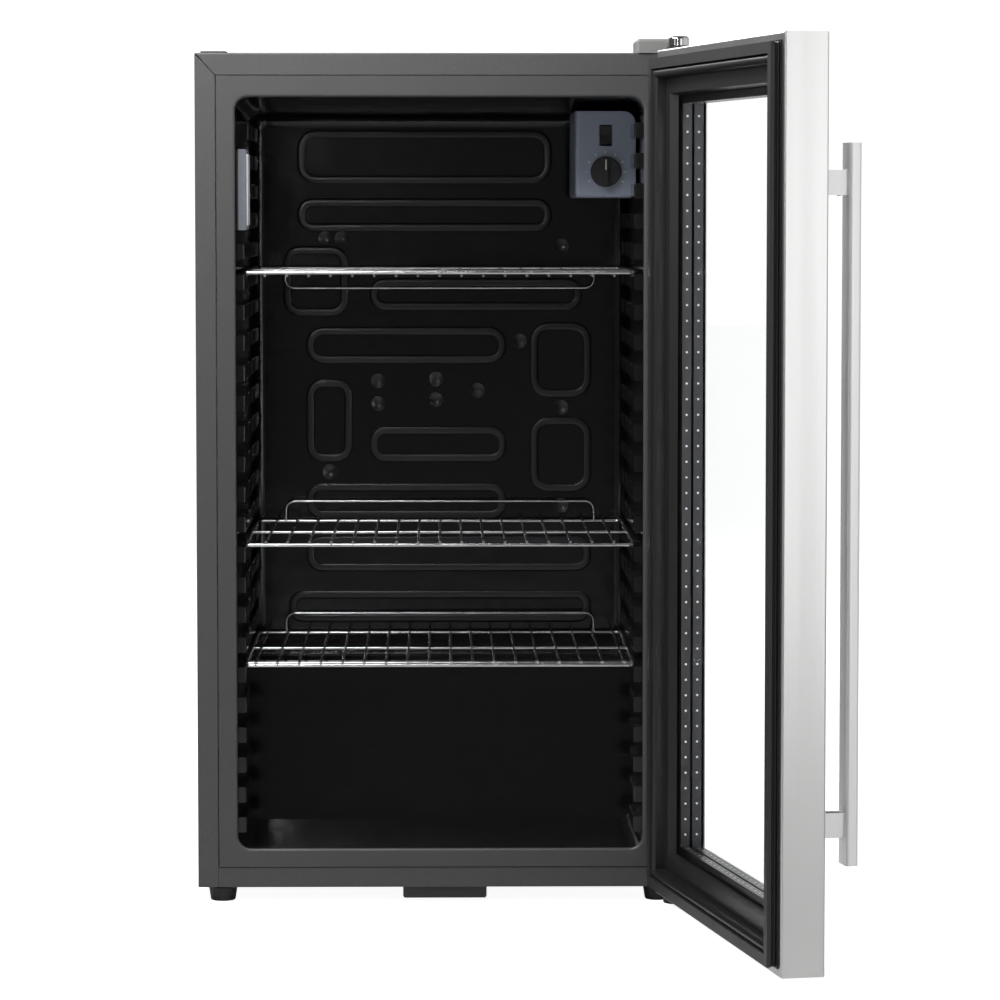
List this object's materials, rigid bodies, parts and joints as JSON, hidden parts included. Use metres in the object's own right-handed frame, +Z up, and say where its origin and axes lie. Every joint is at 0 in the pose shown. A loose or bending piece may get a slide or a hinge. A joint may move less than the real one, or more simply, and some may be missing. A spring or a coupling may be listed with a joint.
{
  "type": "mini fridge",
  "caption": "Upright under-counter drinks cooler: charcoal box, black liner, sliding wire shelves and a swinging framed glass door with a bar handle.",
  "frame": {"origin": "On the floor under the middle of the front, in the plane of the cabinet's front flanges.", "axes": "+X to the viewer's right facing the front, +Y from the front towards the back, +Z up. The rest pose has the door open by 100.4 degrees."},
  "size_m": [0.6031, 0.8924, 0.8448],
  "materials": {
    "cabinet_paint": "fine speckled charcoal powder coat",
    "zinc_sheet": "dull galvanised sheet",
    "screw_steel": "bright zinc-plated steel",
    "liner_black": "glossy black moulded plastic",
    "foam": "rigid foam, cut face",
    "aluminium": "mill aluminium",
    "copper": "drawn copper",
    "compressor_black": "black enamel",
    "cast_iron": "machined cast iron",
    "black_rubber": "soft black rubber",
    "black_plastic": "fine-grained black plastic",
    "dark_steel": "black-painted steel",
    "grey_plastic": "light grey satin plastic",
    "polished_black": "polished black plastic",
    "lamp_lens": "ribbed frosted clear plastic",
    "board": "white circuit board",
    "housing_grey": "dark blue-grey plastic",
    "stainless": "brushed stainless steel",
    "frame_black": "glossy black extruded plastic",
    "magnet": "flexible magnet strip",
    "sealant": "dark sealant",
    "nylon": "natural nylon",
    "chrome_wire": "bright chromed wire",
    "clear_glass": "clear flat glass"
  },
  "bodies": {
    "cabinet": {"back_panel": "zinc_sheet", "back_panel_screws": "screw_steel", "base_plate": "zinc_sheet", "bottom_front_panel": "cabinet_paint", "bottom_hinge_bracket": "dark_steel", "bottom_hinge_pin": "dark_steel", "catch_plate": "dark_steel", "compartment_liner": "zinc_sheet", "compressor_bolts": "screw_steel", "compressor_feet": "compressor_black", "compressor_grommets": "black_rubber", "compressor_pump": "cast_iron", "compressor_shell": "compressor_black", "condenser_tube": "copper", "cord_gland": "black_rubber", "discharge_tube": "copper", "drain_tube": "black_plastic", "drip_tray": "black_plastic", "evaporator_plate": "aluminium", "evaporator_tube": "aluminium", "filter_drier": "copper", "foam_insulation": "foam", "hinge_hole_plug": "black_plastic", "hinge_pin_cap": "polished_black", "hinge_screws": "screw_steel", "inner_liner": "liner_black", "lamp_base": "black_plastic", "lamp_lens": "lamp_lens", "led_board": "board", "outer_wrapper": "cabinet_paint", "rear_feet": "black_plastic", "relay_cover": "black_plastic", "suction_tube": "copper", "thermostat_body": "black_plastic", "thermostat_housing": "housing_grey", "top_hinge_bracket": "dark_steel", "top_hinge_cover": "grey_plastic", "top_hinge_pin": "screw_steel"},
    "door": {"door_outer_frame": "stainless", "door_core": "foam", "door_inner_frame": "frame_black", "door_gasket": "black_rubber", "gasket_magnet": "magnet", "glazing_sealant": "sealant", "glazing_spacers": "aluminium", "door_bushes": "nylon", "handle_bar": "stainless", "handle_posts": "stainless", "handle_studs": "screw_steel", "handle_set_screws": "screw_steel", "glass_outer": "clear_glass", "glass_middle": "clear_glass", "glass_inner": "clear_glass"},
    "shelf_top": {"shelf_top": "chrome_wire"},
    "shelf_middle": {"shelf_middle": "chrome_wire"},
    "shelf_lower": {"shelf_lower": "chrome_wire"},
    "thermostat_dial": {"thermostat_knob": "black_plastic"},
    "lamp_rocker": {"lamp_switch": "black_plastic"},
    "foot_left": {"levelling_foot_left": "black_plastic"},
    "foot_right": {"levelling_foot_right": "black_plastic"}
  },
  "joints": [
    {"name": "door_hinge", "type": "hinge", "parent": "cabinet", "child": "door", "pos_m": [0.23, -0.0303, 0.4225], "axis": [0, 0, 1], "range_deg": [-100.4, 24.6]},
    {"name": "shelf_top_slide", "type": "slide", "parent": "cabinet", "child": "shelf_top", "axis": [0, -1, 0], "range_m": [0, 0.2]},
    {"name": "shelf_middle_slide", "type": "slide", "parent": "cabinet", "child": "shelf_middle", "axis": [0, -1, 0], "range_m": [0, 0.2]},
    {"name": "shelf_lower_slide", "type": "slide", "parent": "cabinet", "child": "shelf_lower", "axis": [0, -1, 0], "range_m": [0, 0.2]},
    {"name": "thermostat_turn", "type": "hinge", "parent": "cabinet", "child": "thermostat_dial", "pos_m": [0.165, 0.1, 0.716], "axis": [0, -1, 0], "range_deg": [-150, 150]},
    {"name": "lamp_switch_rock", "type": "hinge", "parent": "cabinet", "child": "lamp_rocker", "pos_m": [0.165, 0.102, 0.752], "axis": [1, 0, 0], "range_deg": [0, 12]},
    {"name": "foot_left_screw", "type": "slide", "parent": "cabinet", "child": "foot_left", "axis": [0, 0, -1], "range_m": [0, 0.008]},
    {"name": "foot_right_screw", "type": "slide", "parent": "cabinet", "child": "foot_right", "axis": [0, 0, -1], "range_m": [0, 0.008]}
  ]
}
